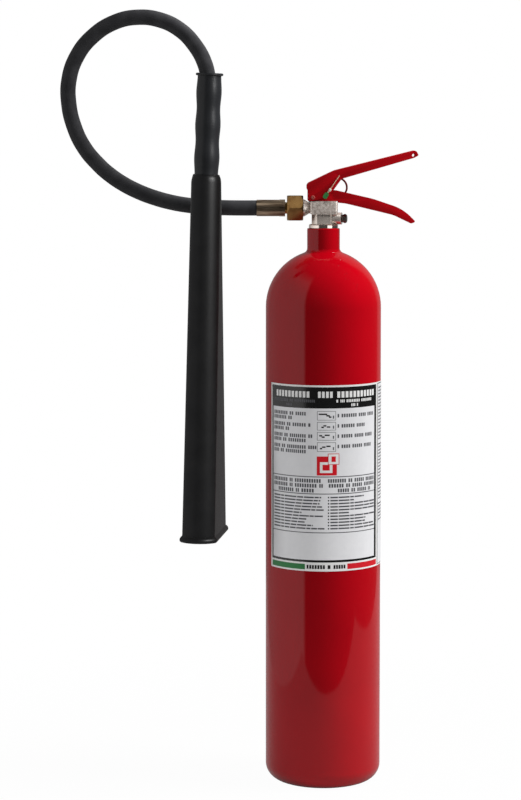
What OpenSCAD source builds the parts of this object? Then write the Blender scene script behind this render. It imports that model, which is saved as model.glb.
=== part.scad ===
// Carbon dioxide fire extinguisher: steel cylinder, squeeze-lever valve, hose and horn.
// Millimetres, +Z up, origin on the floor at the cylinder's axis.
// The squeeze handles point to +X, the hose and horn hang on the -X side.

/* [Cylinder] */
// Outside diameter of the steel cylinder
cyl_d = 140; // [130:1:170]
// Wall thickness of the cylinder
cyl_wall = 4.5; // [3:0.5:7]
// Height at which the straight wall ends and the round shoulder starts
cyl_straight_h = 580; // [350:0.5:800]
// Radius of the rounded bottom corner
base_corner_r = 20; // [10:1:24]
// Width of the flat ring that stands on the floor
foot_w = 8; // [4:1:12]
// Height of the dish under the bottom
dish_h = 12; // [6:1:18]
// Outside diameter of the neck
neck_d = 39.6; // [37:0.2:46]
// Height of the neck's top face above the crown of the shoulder
neck_h = 25.5; // [22:0.5:40]
// Radius of the blend between shoulder and neck
neck_blend_r = 6; // [3:0.5:10]
// Diameter of the threaded hole in the neck
neck_bore_d = 25; // [23:0.5:27]

/* [Valve body] */
// Diameter of the round collar on the neck
collar_d = 35.4; // [33.6:0.2:37]
// Height of the collar
collar_h = 5; // [4:0.5:8]
// Width across the flats of the waist above the collar
waist_w = 28.6; // [26:0.2:31]
// Width of the slanted flats on the waist's upright edges
waist_chamfer = 6.1; // [4:0.1:8]
// Height of the waist
waist_h = 12; // [11:0.5:15]
// Length of the valve block along the outlet
block_l = 34; // [31:0.5:38]
// Depth of the valve block
block_w = 24; // [22:0.5:25]
// Height of the valve block
block_h = 16; // [15:0.5:20]
// Radius of the block's rounded edges
block_r = 3; // [1:0.5:5]
// Height of the outlet's axis above the block's underside
outlet_rise = 7.6; // [7:0.2:8.4]
// Width of the tower between the handle's cheeks
tower_w = 14; // [13:0.5:16]
// Height of the gland boss above the block
tower_h = 8.5; // [7.5:0.5:10]
// Length of the threaded shank inside the neck
shank_l = 24; // [20:1:30]

/* [Valve works] */
// Diameter of the stem
stem_d = 6; // [5:0.2:6.4]
// Diameter of the stem's domed head
stem_head_d = 8; // [7:0.2:8.6]
// Diameter of the chamber that holds poppet and spring
chamber_d = 14; // [13:0.2:16]
// Diameter of the seat opening above the poppet
seat_d = 8; // [7.4:0.2:9]
// Height of the seat above the neck's top face
seat_rise = 16; // [14:0.5:17]
// Diameter of the poppet
poppet_d = 12; // [10.4:0.2:12.4]
// Thickness of the soft disc on the poppet
poppet_seal_t = 2; // [1:0.5:3]
// Height of the poppet's disc
poppet_h = 5.5; // [4:0.5:7]
// Wire diameter of the poppet spring
spring_wire = 1.2; // [0.8:0.1:1.6]
// Turns of the poppet spring
spring_turns = 5; // [4:1:7]
// Outside diameter of the dip tube
dip_tube_d = 10; // [8:0.5:11]
// Wall thickness of the dip tube
dip_tube_wall = 1; // [0.8:0.1:1.5]
// Gap between the dip tube's lower end and the inside of the bottom
dip_tube_gap = 8; // [4:1:20]

/* [Burst disc] */
// Diameter of the boss for the burst disc
burst_boss_d = 14.6; // [13:0.2:16]
// Distance of the boss's end from the stem axis
burst_boss_reach = 22.5; // [20:0.5:26]
// Height of the boss's axis above the neck's top face
burst_rise = 12; // [11:0.5:13]
// Angle of the boss towards the front
burst_yaw = 14; // [0:1:30]
// Width across the flats of the plug's hexagon
burst_hex = 9.6; // [8:0.2:12]

/* [Outlet and hose] */
// Width across the flats of the union nut
nut_af = 30; // [27:0.5:32]
// Length of the union nut
nut_l = 19.6; // [18:0.2:24]
// Distance of the nut's inner face from the stem axis
nut_reach = 24.7; // [23:0.1:27]
// Thread diameter of the outlet
outlet_d = 20.8; // [19:0.2:22]
// Diameter of the hose tail between nut and ferrule
tail_d = 14; // [12:0.5:15]
// Outside diameter of the hose
hose_d = 18.6; // [16:0.2:20]
// Outside diameter of the crimped ferrule
ferrule_d = 20.6; // [20.4:0.2:24]
// Length of the crimped ferrule
ferrule_l = 34.4; // [32:0.2:42]
// Count of the crimping ridges round the ferrule
ferrule_ridges = 8; // [6:1:12]

/* [Horn] */
// Outside diameter of the rubber grip
grip_d = 30.5; // [30:0.5:36]
// Length of the rubber grip
grip_l = 121; // [100:1:150]
// Wall thickness of the rubber grip
grip_wall = 2.4; // [1.8:0.1:3]
// Height of the grip's moulded waves
grip_wave = 0.55; // [0:0.05:1]
// Diameter of the horn below its shoulder
horn_top_d = 36; // [34:0.5:42]
// Length of the horn below the grip
horn_l = 440; // [300:1:500]
// Width of the horn's outlet
horn_w = 39.5; // [34:0.5:60]
// Depth of the horn's outlet
horn_depth = 116; // [60:1:140]
// Wall thickness of the horn
horn_wall = 2.5; // [1.5:0.1:4]
// How far the outlet's lip stands out
horn_lip = 3; // [1:0.5:5]
// Turn of the horn about its own axis
horn_yaw = 7.4; // [0:0.1:20]

/* [Lever and handle] */
// Thickness of the sheet steel
sheet_t = 2.5; // [2:0.1:3]
// Distance of the pivot from the stem axis
pivot_back = 13.1; // [12.4:0.1:14]
// Height of the pivot above the block
pivot_rise = 4.7; // [4.4:0.1:6]
// Diameter of the pivot pin
pivot_d = 4; // [3:0.2:5]
// Reach of the squeeze lever from the pivot to its tip
lever_reach = 127.6; // [100:0.1:160]
// Height of the lever's tip above the pivot
lever_rise = 50.7; // [46:0.1:60]
// Height of the lever at its tip
lever_tip_h = 9.4; // [8:0.1:12]
// Reach of the knee in the lever's back
knee_x = 25.5; // [22:0.1:30]
// Height of the knee above the pivot
knee_z = 32.4; // [31:0.1:38]
// Reach of the corner between the lever's grip and its cheek
heel_x = 34.6; // [32:0.1:40]
// Height of that corner above the pivot
heel_z = 22.3; // [19:0.1:24]
// Reach of the carry handle from the pivot to its tip
handle_reach = 124.6; // [110:0.2:150]
// Drop of the handle's tip below the pivot
handle_drop = 29.7; // [24:0.1:36]
// Height of the handle's cheeks above the pivot
handle_cheek_h = 8.4; // [6:0.1:10]
// Diameter of the hole for an inspection tag in the lever's tip
tag_hole_d = 4; // [2.6:0.2:4.2]
// Squeeze of the lever, in degrees
lever_travel = 15; // [10:1:15]

/* [Safety pin and seal] */
// Diameter of the safety pin
pin_d = 3; // [2:0.2:3.4]
// Reach of the safety pin's hole from the pivot
pin_x = 19.4; // [19:0.1:22]
// Height of the safety pin's hole above the pivot
pin_z = 7.2; // [6.8:0.1:7.4]
// Radius of the pull ring, to the middle of its wire
ring_r = 11.6; // [9:0.1:16]
// Wire diameter of the pull ring
ring_wire = 2.4; // [1.6:0.1:3]
// Wire diameter of the seal
seal_wire_d = 1.2; // [0.8:0.1:1.6]
// Length of the moulded tamper seal
seal_l = 8; // [6:0.5:10]
// Width of the moulded tamper seal
seal_w = 5.4; // [4:0.2:7]
// Thickness of the moulded tamper seal
seal_t = 3.6; // [2.4:0.2:5]

/* [Hidden] */

$fn = 64;
fit = 0.1;
running_fit = 0.05;
apart = 0.4;
over = 1;

cyl_r = cyl_d / 2;
cavity_r = cyl_r - cyl_wall;
neck_r = neck_d / 2;
neck_bore_r = neck_bore_d / 2;
foot_out_r = cyl_r - base_corner_r;
foot_in_r = foot_out_r - foot_w;
dish_r = (pow(foot_in_r, 2) + pow(dish_h, 2)) / (2 * dish_h);
blend_x = neck_r + neck_blend_r;
blend_z = sqrt(pow(cyl_r + neck_blend_r, 2) - pow(blend_x, 2));
blend_share = cyl_r / (cyl_r + neck_blend_r);
neck_top = cyl_straight_h + cyl_r + neck_h;
neck_seal_d = 2.6;

waist_z = neck_top + collar_h;
block_z = waist_z + waist_h;
tower_z = block_z + block_h;
tower_top = tower_z + tower_h;
outlet_z = block_z + outlet_rise;
shank_z = neck_top - shank_l;
waist_step = 1.4;
chamber_r = chamber_d / 2;
seat_z = neck_top + seat_rise;
stem_r = stem_d / 2;

gland_flange_t = 1.5;
gland_r = stem_r + 2.5;
gland_l = 7;
o_ring_d = gland_r - stem_r - 2 * fit;
o_ring_pocket_z = tower_top - gland_l - o_ring_d - fit;
boss_r = tower_w / 2;
ear_r = 5;
rivet_x = 11.5;
rivet_d = 3.2;
rivet_post_r = 4;
rivet_z = tower_z + 4;

pivot_z = tower_z + pivot_rise;
cheek_gap = 0.2;
handle_in = tower_w / 2 + cheek_gap;
handle_out = handle_in + sheet_t;
lever_in = handle_out + apart;
lever_out = lever_in + sheet_t;
pivot_head_t = 1.4;
ring_lean = 20.6;

retainer_l = 11;
retainer_flange_t = 3;
retainer_flange_r = neck_bore_r - 3;
retainer_top = shank_z + retainer_l;
retainer_web = 5;
dip_tube_top = retainer_top - retainer_web;
dip_tube_r = dip_tube_d / 2;
dip_tube_bottom = dish_h + cyl_wall + dip_tube_gap;
poppet_seal_top = seat_z - apart;
poppet_top = poppet_seal_top - poppet_seal_t;
poppet_bottom = poppet_top - poppet_h;
spring_guide_l = 6;
spring_r = poppet_d / 2 - spring_wire / 2 - apart;

// The lever's web is parallel to its back, and the stem's round head stays clear of it.
nose_x = -7.5;
nose_z = 16.6;
web_lean = 38;
web_set = sheet_t * [sin(web_lean), -cos(web_lean)];
web_angle = atan((knee_z - nose_z) / (knee_x - nose_x));
web_slope = tan(web_angle);
web_under = pivot_z + knee_z + web_set.y - (knee_x - pivot_back + web_set.x) * web_slope;
stem_head_r = stem_head_d / 2;
stem_head_z = web_under - (stem_head_r + apart) / cos(web_angle);
stem_head_l = 5;

nut_end = nut_reach + nut_l;
outlet_r = outlet_d / 2;
outlet_neck_r = outlet_r - 3.6;
outlet_l = nut_end - 7;
nut_wall = 3.2;
tail_r = tail_d / 2;
hose_r = hose_d / 2;
hose_fit = 0.2;
hose_bore_r = hose_r + hose_fit;
ferrule_r = ferrule_d / 2;
ferrule_start = nut_end + 2.3;
ferrule_end = ferrule_start + ferrule_l;
ferrule_back = 3.4;
tail_barb_l = 5;
hose_start = ferrule_start + ferrule_back + fit + tail_barb_l;
ridge_r = 0.6;

// The hose's route, from the mouth of the valve's ferrule: straight out, round one open loop, into the grip.
hose_exit = [-ferrule_end, 0, outlet_z];
hose_route = [
    [0, 0, 0], [-20, 0, 0], [-40, 0, 0.3], [-60, 0, 1], [-81, 0, 3], [-102, 0, 6.5], [-125, -0.5, 12.8],
    [-145, -1, 20.6], [-163, -2, 30.1], [-178, -3, 40.5], [-190.8, -4.2, 52], [-208.3, -6.4, 73.2],
    [-220, -9, 98], [-226.2, -11.5, 126], [-225.6, -14.3, 154.4], [-215.6, -17.6, 182.6],
    [-196.4, -20.8, 206.2], [-170, -23.8, 222.8], [-143.4, -26.3, 228.6], [-115, -28.5, 225.2],
    [-91, -30.1, 213.1], [-73.7, -31.3, 195], [-62.2, -31.8, 174], [-57.9, -32, 155], [-57, -32, 136]
];
horn_at = [-60.4, -32, 41];
grip_tilt = 2;
horn_tilt = 0.4;
spigot_l = 25;
spigot_bore_r = 8;
nozzle_flange_t = 8;
horn_ferrule_l = 42;
hose_seat = spigot_l + fit + nozzle_flange_t;
grip_axis = [sin(grip_tilt), 0, cos(grip_tilt)];
hose_line = concat(
    [hose_exit + [ferrule_end - hose_start, 0, 0]],
    [for (p = hose_route) hose_exit + p],
    [for (l = [hose_seat + horn_ferrule_l, hose_seat]) hose_exit + horn_at + l * grip_axis]
);
hose_sides = 12;

grip_r = grip_d / 2;
grip_bore_r = grip_r - grip_wall;
grip_lip = 1.2;
grip_lip_l = 3;
grip_edge = 0.8;
grip_waves = 3;
grip_mouth = 0.9;
grip_mouth_l = 30;
horn_shoulder = 9;
horn_end_r = 0.6 * horn_w;
horn_slice = 0.2;
horn_top_r = horn_top_d / 2;
horn_neck = [[fit, grip_r + 0.6], [0.4 * horn_shoulder, horn_top_r - 1], [horn_shoulder, horn_top_r]];
nozzle_drop = 16;
nozzle_bore_r = 2;
nozzle_mouth_r = 5.5;
nozzle_mouth_l = 8;

/* Points of a rounded outline: each corner is [x, z, radius]. */
function unit(v) = v / norm(v);
function flat(p) = [p.x, p.y];
function corner_arc(before, at, after, r, steps = 6) =
    let (u = unit(before - at))
    let (v = unit(after - at))
    let (half = acos(u * v) / 2)
    let (centre = at + unit(u + v) * r / sin(half))
    let (start = at + u * r / tan(half) - centre)
    let (stop = at + v * r / tan(half) - centre)
    let (turn = sign(start.x * stop.y - start.y * stop.x) * (180 - 2 * half))
    let (from = atan2(start.y, start.x))
    [for (i = [0 : steps]) centre + r * [cos(from + turn * i / steps), sin(from + turn * i / steps)]];
function rounded(corners) =
    let (n = len(corners))
    [for (i = [0 : n - 1])
        let (before = flat(corners[(i + n - 1) % n]))
        let (after = flat(corners[(i + 1) % n]))
        each corner_arc(before, flat(corners[i]), after, corners[i].z)];

/* Points and faces of a tube with round rings along a line. */
function along(line, i) = unit(line[min(i + 1, len(line) - 1)] - line[max(i - 1, 0)]);
function ring(centre, axis, up, r, sides) =
    let (side = unit(cross(axis, up)))
    let (rise = cross(side, axis))
    [for (j = [0 : sides - 1]) centre + r * (cos(360 * j / sides) * side + sin(360 * j / sides) * rise)];
function tube_faces(rings, sides) = concat(
    [[for (j = [0 : sides - 1]) j]],
    [for (i = [0 : rings - 2], j = [0 : sides - 1])
        each let (a = i * sides + j, b = i * sides + (j + 1) % sides)
            [[a, a + sides, b], [b, a + sides, b + sides]]],
    [[for (j = [sides - 1 : -1 : 0]) (rings - 1) * sides + j]]
);
module tube(line, r, sides, up) {
    rings = [for (i = [0 : len(line) - 1]) each ring(line[i], along(line, i), up, r, sides)];
    polyhedron(rings, tube_faces(len(line), sides), convexity = 6);
}

module rounded_rect(l, w, r) {
    square([l - 2 * r, w], center = true);
    square([l, w - 2 * r], center = true);
    for (x = [-1, 1], y = [-1, 1])
        translate([x * (l / 2 - r), y * (w / 2 - r)]) circle(r);
}
module hollow_rod(r, bore_r, l) {
    difference() {
        cylinder(r = r, h = l);
        translate([0, 0, -over]) cylinder(r = bore_r, h = l + 2 * over);
    }
}
module o_ring(mid_r, d) {
    rotate_extrude() translate([mid_r, 0]) circle(d = d, $fn = 32);
}
module hexagon(af, h) {
    cylinder(d = af / cos(30), h = h, $fn = 6);
}
// A hexagon whose two ends are turned to a chamfer.
module chamfered_hexagon(af, h) {
    corner_r = af / 2 / cos(30);
    intersection() {
        hexagon(af, h);
        rotate_extrude() polygon([
            [0, 0], [af / 2 - 0.2, 0], [corner_r, corner_r - af / 2 + 0.6],
            [corner_r, h - corner_r + af / 2 - 0.6], [af / 2 - 0.2, h], [0, h]
        ]);
    }
}
// Stands its children, drawn in X and Z, up as a plate across Y.
module across(w, y = 0) {
    translate([0, y + w / 2, 0]) rotate([90, 0, 0]) linear_extrude(w) children();
}
module cross_rod(r, l, at, y = 0) {
    translate([at.x, y + l / 2, at.y]) rotate([90, 0, 0]) cylinder(r = r, h = l);
}
// Local +Z runs out of the valve's outlet, from the stem axis.
module at_outlet() {
    translate([0, 0, outlet_z]) rotate([0, -90, 0]) children();
}
// Local +Z runs out of the burst disc's boss, from the stem axis.
module at_burst_boss() {
    translate([0, 0, neck_top + burst_rise]) rotate([0, 90, -burst_yaw]) children();
}
// Local origin where grip and horn meet.
module at_horn(tilt) {
    translate(hose_exit + horn_at) rotate([0, tilt, 0]) children();
}

module cylinder_outline() {
    difference() {
        union() {
            translate([0, base_corner_r]) square([cyl_r, cyl_straight_h - base_corner_r]);
            square([foot_out_r, base_corner_r]);
            translate([foot_out_r, base_corner_r]) circle(base_corner_r);
            translate([0, cyl_straight_h]) circle(cyl_r);
            translate([0, cyl_straight_h]) square([neck_r, cyl_r + neck_h]);
            difference() {
                translate([0, cyl_straight_h]) polygon([
                    [0, blend_z * blend_share], [blend_x * blend_share, blend_z * blend_share],
                    [blend_x, blend_z], [neck_r, blend_z], [0, blend_z]
                ]);
                translate([blend_x, cyl_straight_h + blend_z]) circle(neck_blend_r);
            }
        }
        translate([0, dish_h - dish_r]) circle(dish_r, $fn = 128);
        translate([-2 * cyl_r, -over]) square([2 * cyl_r, neck_top + 2 * over]);
    }
}
module cavity_outline() {
    corner_r = base_corner_r - cyl_wall;
    difference() {
        union() {
            translate([0, base_corner_r]) square([cavity_r, cyl_straight_h - base_corner_r]);
            translate([0, cyl_wall]) square([foot_out_r, base_corner_r]);
            translate([foot_out_r, base_corner_r]) circle(corner_r);
            translate([0, cyl_straight_h]) circle(cavity_r);
            translate([0, cyl_straight_h]) square([neck_bore_r, cyl_r + neck_h + over]);
            translate([0, neck_top - neck_seal_d - fit]) square([neck_bore_r + neck_seal_d + fit, cyl_r]);
        }
        translate([0, dish_h - dish_r]) circle(dish_r + cyl_wall, $fn = 128);
        translate([-2 * cyl_r, -over]) square([2 * cyl_r, 2 * neck_top]);
    }
}
module cylinder_shell() {
    color("firebrick") rotate_extrude($fn = 128) difference() {
        cylinder_outline();
        cavity_outline();
    }
}
module neck_seal() {
    color("black") translate([0, 0, neck_top - neck_seal_d / 2 - fit / 2])
        o_ring(neck_bore_r + neck_seal_d / 2 + fit / 2, neck_seal_d);
}

module waist() {
    half = [waist_w, block_w] / 2 - [0, waist_step];
    face = half - [waist_chamfer, waist_chamfer];
    linear_extrude(waist_h + over) polygon([
        [half.x, face.y], [face.x, half.y], [-face.x, half.y], [-half.x, face.y],
        [-half.x, -face.y], [-face.x, -half.y], [face.x, -half.y], [half.x, -face.y]
    ]);
}
// The block is rounded in plan and from the front.
module block() {
    intersection() {
        linear_extrude(block_h) rounded_rect(block_l, block_w, block_r);
        translate([0, 0, block_h / 2]) across(block_w) rounded_rect(block_l, block_h, block_r);
    }
}
// An upright ear with a round top, for a cross pin.
module ear(at, r) {
    cross_rod(r, tower_w, at);
    translate([at.x - r, -tower_w / 2, tower_z - over]) cube([2 * r, tower_w, at.y - tower_z + over]);
}
module outlet_nipple() {
    rotate_extrude() polygon([
        [0, block_l / 2 - block_r - over], [outlet_neck_r, block_l / 2 - block_r - over],
        [outlet_neck_r, block_l / 2 + 0.6], [outlet_r, nut_reach - 1.2], [outlet_r, outlet_l - 1],
        [outlet_r - 1, outlet_l], [0, outlet_l]
    ]);
}
module valve_body() {
    color("silver") difference() {
        union() {
            translate([0, 0, shank_z]) cylinder(r = neck_bore_r - fit, h = shank_l + over);
            translate([0, 0, neck_top]) rotate_extrude() polygon([
                [0, 0], [collar_d / 2 - 0.6, 0], [collar_d / 2, 0.6], [collar_d / 2, collar_h - 1],
                [collar_d / 2 - 1, collar_h], [0, collar_h]
            ]);
            translate([0, 0, waist_z - over]) waist();
            translate([0, 0, block_z]) block();
            translate([0, 0, tower_z - over]) cylinder(r = boss_r, h = tower_h + over);
            ear([-pivot_back, pivot_z], ear_r);
            ear([rivet_x, rivet_z], rivet_post_r);
            at_outlet() outlet_nipple();
            at_burst_boss() cylinder(d = burst_boss_d, h = burst_boss_reach);
        }
        translate([0, 0, shank_z - over]) cylinder(r = chamber_r, h = seat_z - shank_z + over);
        translate([0, 0, seat_z - over]) cylinder(d = seat_d, h = outlet_z + seat_d / 2 - seat_z + over);
        translate([0, 0, outlet_z]) cylinder(r = stem_r + running_fit, h = tower_top - outlet_z);
        translate([0, 0, o_ring_pocket_z]) cylinder(r = gland_r + fit, h = tower_top);
        at_outlet() cylinder(d = seat_d, h = outlet_l + over);
        at_burst_boss() burst_bores();
        cross_rod(pivot_d / 2 + running_fit, tower_w + 2 * over, [-pivot_back, pivot_z]);
        cross_rod(rivet_d / 2 + running_fit, tower_w + 2 * over, [rivet_x, rivet_z]);
    }
}
module dip_tube() {
    color("gainsboro") difference() {
        translate([0, 0, dip_tube_bottom])
            hollow_rod(dip_tube_r, dip_tube_r - dip_tube_wall, dip_tube_top - dip_tube_bottom - fit);
        // The foot is cut at a slant so that the tube can't seal against the bottom.
        translate([0, 0, dip_tube_bottom]) rotate([0, 30, 0])
            translate([-2 * dip_tube_d, -dip_tube_d, -2 * dip_tube_d])
                cube([4 * dip_tube_d, 2 * dip_tube_d, 2 * dip_tube_d]);
    }
}
module dip_tube_retainer() {
    color("goldenrod") translate([0, 0, shank_z]) difference() {
        union() {
            cylinder(r = chamber_r - fit, h = retainer_l);
            translate([0, 0, -retainer_flange_t]) hexagon(2 * retainer_flange_r * cos(30), retainer_flange_t);
        }
        translate([0, 0, -retainer_flange_t - over])
            cylinder(r = dip_tube_r + running_fit, h = retainer_flange_t + retainer_l - retainer_web + over);
        cylinder(r = dip_tube_r - dip_tube_wall, h = retainer_l + over);
    }
}
module poppet_spring() {
    steps = 16;
    low = retainer_top + spring_wire / 2 + fit;
    high = poppet_bottom - spring_wire / 2 - apart;
    line = [for (i = [0 : steps * spring_turns])
        let (a = 360 * i / steps)
        [spring_r * cos(a), spring_r * sin(a), low + (high - low) * i / (steps * spring_turns)]];
    color("darkgray") tube(line, spring_wire / 2, 8, [0, 0, 1]);
}
module poppet() {
    color("goldenrod") {
        translate([0, 0, poppet_bottom]) cylinder(d = poppet_d, h = poppet_h);
        translate([0, 0, poppet_bottom - spring_guide_l])
            cylinder(r = spring_r - spring_wire / 2 - apart, h = spring_guide_l + over);
    }
}
module poppet_seal() {
    color("ivory") translate([0, 0, poppet_top])
        hollow_rod(poppet_d / 2, stem_r + running_fit, poppet_seal_t);
}
module stem() {
    color("silver") {
        translate([0, 0, poppet_top]) cylinder(r = stem_r, h = stem_head_z - poppet_top);
        translate([0, 0, stem_head_z - stem_head_l]) cylinder(r = stem_head_r, h = stem_head_l);
        translate([0, 0, stem_head_z]) sphere(stem_head_r);
    }
}
module stem_o_ring() {
    color("black") translate([0, 0, o_ring_pocket_z + o_ring_d / 2 + fit / 2])
        o_ring((stem_r + gland_r) / 2, o_ring_d);
}
module stem_gland() {
    color("goldenrod") difference() {
        union() {
            translate([0, 0, tower_top - gland_l]) cylinder(r = gland_r, h = gland_l);
            translate([0, 0, tower_top]) hexagon(2 * gland_r, gland_flange_t);
        }
        translate([0, 0, tower_top - gland_l - over])
            cylinder(r = stem_r + running_fit, h = gland_l + gland_flange_t + 2 * over);
    }
}

burst_seat = burst_boss_reach - 6.5;
burst_disc_r = burst_hex / 2 - 0.2;
burst_disc_t = 0.8;
burst_washer_t = 1;
burst_plug_start = burst_seat + burst_disc_t + burst_washer_t;
burst_neck_l = 1.8;
burst_head_l = 4.4;
burst_port_r = 1.5;
burst_vent_r = 0.9;
module burst_bores() {
    cylinder(r = burst_port_r, h = burst_seat + over);
    translate([0, 0, burst_seat]) cylinder(r = burst_disc_r + fit, h = burst_boss_reach);
}
module burst_disc() {
    color("peru") at_burst_boss() translate([0, 0, burst_seat]) cylinder(r = burst_disc_r, h = burst_disc_t);
}
module burst_disc_washer() {
    color("ivory") at_burst_boss() translate([0, 0, burst_seat + burst_disc_t])
        hollow_rod(burst_disc_r, burst_disc_r / 2, burst_washer_t);
}
module burst_disc_plug() {
    head_z = burst_boss_reach + burst_neck_l;
    color("dimgray") at_burst_boss() difference() {
        union() {
            translate([0, 0, burst_plug_start])
                cylinder(r = burst_disc_r, h = head_z - burst_plug_start + over);
            translate([0, 0, head_z]) chamfered_hexagon(burst_hex, burst_head_l);
        }
        translate([0, 0, burst_plug_start - over])
            cylinder(r = burst_disc_r / 2, h = head_z + burst_head_l / 2 - burst_plug_start + over);
        translate([0, 0, head_z + burst_head_l / 2]) rotate([90, 0, 0])
            cylinder(r = burst_vent_r, h = 2 * burst_hex, center = true);
    }
}

module union_nut() {
    color("darkgoldenrod") at_outlet() difference() {
        translate([0, 0, nut_reach]) rotate(30) chamfered_hexagon(nut_af, nut_l);
        translate([0, 0, nut_reach - over]) cylinder(r = outlet_r + fit, h = nut_l - nut_wall + over);
        translate([0, 0, nut_reach]) cylinder(r = tail_r + fit, h = nut_l + over);
    }
}
module hose_tail() {
    flange_start = outlet_l + fit;
    flange_l = nut_end - nut_wall - fit - flange_start;
    color("goldenrod") at_outlet() difference() {
        union() {
            translate([0, 0, flange_start]) cylinder(r = outlet_r - fit, h = flange_l);
            translate([0, 0, flange_start]) cylinder(r = tail_r, h = hose_start - flange_start);
            translate([0, 0, hose_start - tail_barb_l]) cylinder(r = hose_bore_r - fit, h = tail_barb_l);
        }
        translate([0, 0, flange_start - over]) cylinder(d = seat_d, h = hose_start - flange_start + 2 * over);
    }
}
// A crimped sleeve: ridges stand between the marks of the crimping jaws.
module crimped_sleeve(r, bore_r, l) {
    difference() {
        union() {
            cylinder(r = r - ridge_r / 2, h = l);
            for (i = [0 : ferrule_ridges - 1]) rotate(360 * (i + 0.5) / ferrule_ridges)
                translate([r - ridge_r, 0, ferrule_back])
                    cylinder(r = ridge_r, h = l - 2 * ferrule_back, $fn = 16);
            cylinder(r = r, h = ferrule_back);
        }
        translate([0, 0, -over]) cylinder(r = bore_r, h = l + 2 * over);
    }
}
module valve_ferrule() {
    color("darkkhaki") at_outlet() translate([0, 0, ferrule_start]) {
        translate([0, 0, ferrule_back]) crimped_sleeve(ferrule_r, hose_bore_r, ferrule_l - ferrule_back);
        hollow_rod(ferrule_r, tail_r + fit, ferrule_back);
    }
}
module hose() {
    color("dimgray") tube(hose_line, hose_r, hose_sides, [0, 1, 0]);
}

module horn_ferrule() {
    color("darkkhaki") at_horn(grip_tilt) translate([0, 0, hose_seat])
        crimped_sleeve(grip_bore_r - fit, hose_bore_r, horn_ferrule_l);
}
module discharge_nozzle() {
    color("goldenrod") at_horn(grip_tilt) difference() {
        union() {
            translate([0, 0, -nozzle_drop])
                cylinder(r = spigot_bore_r - apart, h = hose_seat + nozzle_drop);
            translate([0, 0, spigot_l + fit]) hexagon(2 * (grip_bore_r - fit) * cos(30), nozzle_flange_t);
        }
        translate([0, 0, -nozzle_drop - over])
            cylinder(r = nozzle_bore_r, h = hose_seat + nozzle_drop + 2 * over);
        translate([0, 0, -nozzle_drop - over])
            cylinder(r1 = nozzle_mouth_r, r2 = nozzle_bore_r, h = nozzle_mouth_l);
    }
}
module grip_sleeve() {
    steps = 36;
    run = grip_l - grip_lip_l;
    lip_r = grip_r + grip_lip;
    color("dimgray") at_horn(grip_tilt) translate([0, 0, fit]) rotate_extrude() polygon(concat(
        [[grip_bore_r, 0]],
        [for (i = [0 : steps])
            [grip_r - grip_wave * (1 + cos(360 * grip_waves * i / steps)), run * i / steps]],
        [[lip_r - grip_edge, run], [lip_r, run + grip_edge], [lip_r, grip_l - grip_edge],
            [lip_r - grip_edge, grip_l], [grip_bore_r + grip_mouth, grip_l],
            [grip_bore_r, grip_l - grip_mouth_l]]
    ));
}

// A section of the horn: flat broad sides and bowed narrow ends, grown by a margin.
module horn_section(margin) {
    end_r = horn_end_r + margin;
    end_y = horn_depth / 2 - horn_end_r;
    linear_extrude(horn_slice) intersection() {
        square([horn_w + 2 * margin, horn_depth + 2 * margin], center = true);
        union() {
            square([2 * end_r, 2 * end_y], center = true);
            for (s = [-1, 1]) translate([0, s * end_y]) circle(end_r);
        }
    }
}
module horn_loft(margin) {
    hull() {
        for (step = horn_neck) translate([0, 0, margin - step[0]])
            cylinder(r = step[1] + margin, h = horn_slice, $fn = 48);
        translate([0, 0, -horn_l]) horn_section(margin);
    }
}
// The rolled lip round the horn's mouth.
module horn_bead() {
    translate([0, 0, -horn_l]) hull() {
        horn_section(horn_lip - 1);
        translate([0, 0, 1]) horn_section(horn_lip);
        translate([0, 0, horn_lip]) horn_section(horn_lip);
        translate([0, 0, 2 * horn_lip]) horn_section(0);
    }
}
// The horn's top fits the grip: a flat seat and a spigot square to the grip's axis.
module horn() {
    color("dimgray") difference() {
        union() {
            difference() {
                at_horn(horn_tilt) rotate(-horn_yaw) {
                    horn_loft(0);
                    horn_bead();
                }
                at_horn(grip_tilt) cylinder(r = 2 * horn_top_r, h = spigot_l);
            }
            at_horn(grip_tilt) translate([0, 0, -horn_shoulder / 2])
                cylinder(r = grip_bore_r - fit, h = spigot_l + horn_shoulder / 2);
        }
        at_horn(horn_tilt) rotate(-horn_yaw) translate([0, 0, -over]) horn_loft(-horn_wall);
        at_horn(grip_tilt) translate([0, 0, -horn_shoulder])
            cylinder(r = spigot_bore_r, h = spigot_l + 2 * horn_shoulder);
    }
}

handle_bottom = fit - pivot_rise;
handle_step_x = block_l / 2 + pivot_back + 0.2;
module handle_outline() {
    polygon(rounded([
        [-4.4, handle_bottom, 1], [-4.4, handle_cheek_h, 5], [pivot_back + 14.6, handle_cheek_h, 20],
        [handle_reach - 51.5, -2.1, 90], [handle_reach - 15.5, handle_drop * -0.48, 52],
        [handle_reach, -handle_drop, 1.6], [handle_reach - 6, -handle_drop - 2, 1.6],
        [handle_reach - 27.5, -handle_drop + 8.3, 40], [handle_step_x + 9.8, handle_bottom - 3, 30],
        [handle_step_x, handle_bottom - 1.9, 0.6], [handle_step_x, handle_bottom, 0.6]
    ]));
}
module at_pivot() {
    translate([-pivot_back, 0, pivot_z]) children();
}
module carry_handle() {
    web_up = sheet_t * [sin(13), cos(13)];
    color("firebrick") at_pivot() difference() {
        across(2 * handle_out) handle_outline();
        across(2 * handle_in) union() {
            translate(web_up) handle_outline();
            translate([handle_step_x - 60, -20]) square([60, 60]);
        }
        cross_rod(pivot_d / 2 + running_fit, 3 * handle_out, [0, 0]);
        cross_rod(rivet_d / 2 + running_fit, 3 * handle_out, [rivet_x + pivot_back, rivet_z - pivot_z]);
        cross_rod(pin_d / 2 + fit, 3 * handle_out, [pin_x, pin_z]);
    }
}
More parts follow.
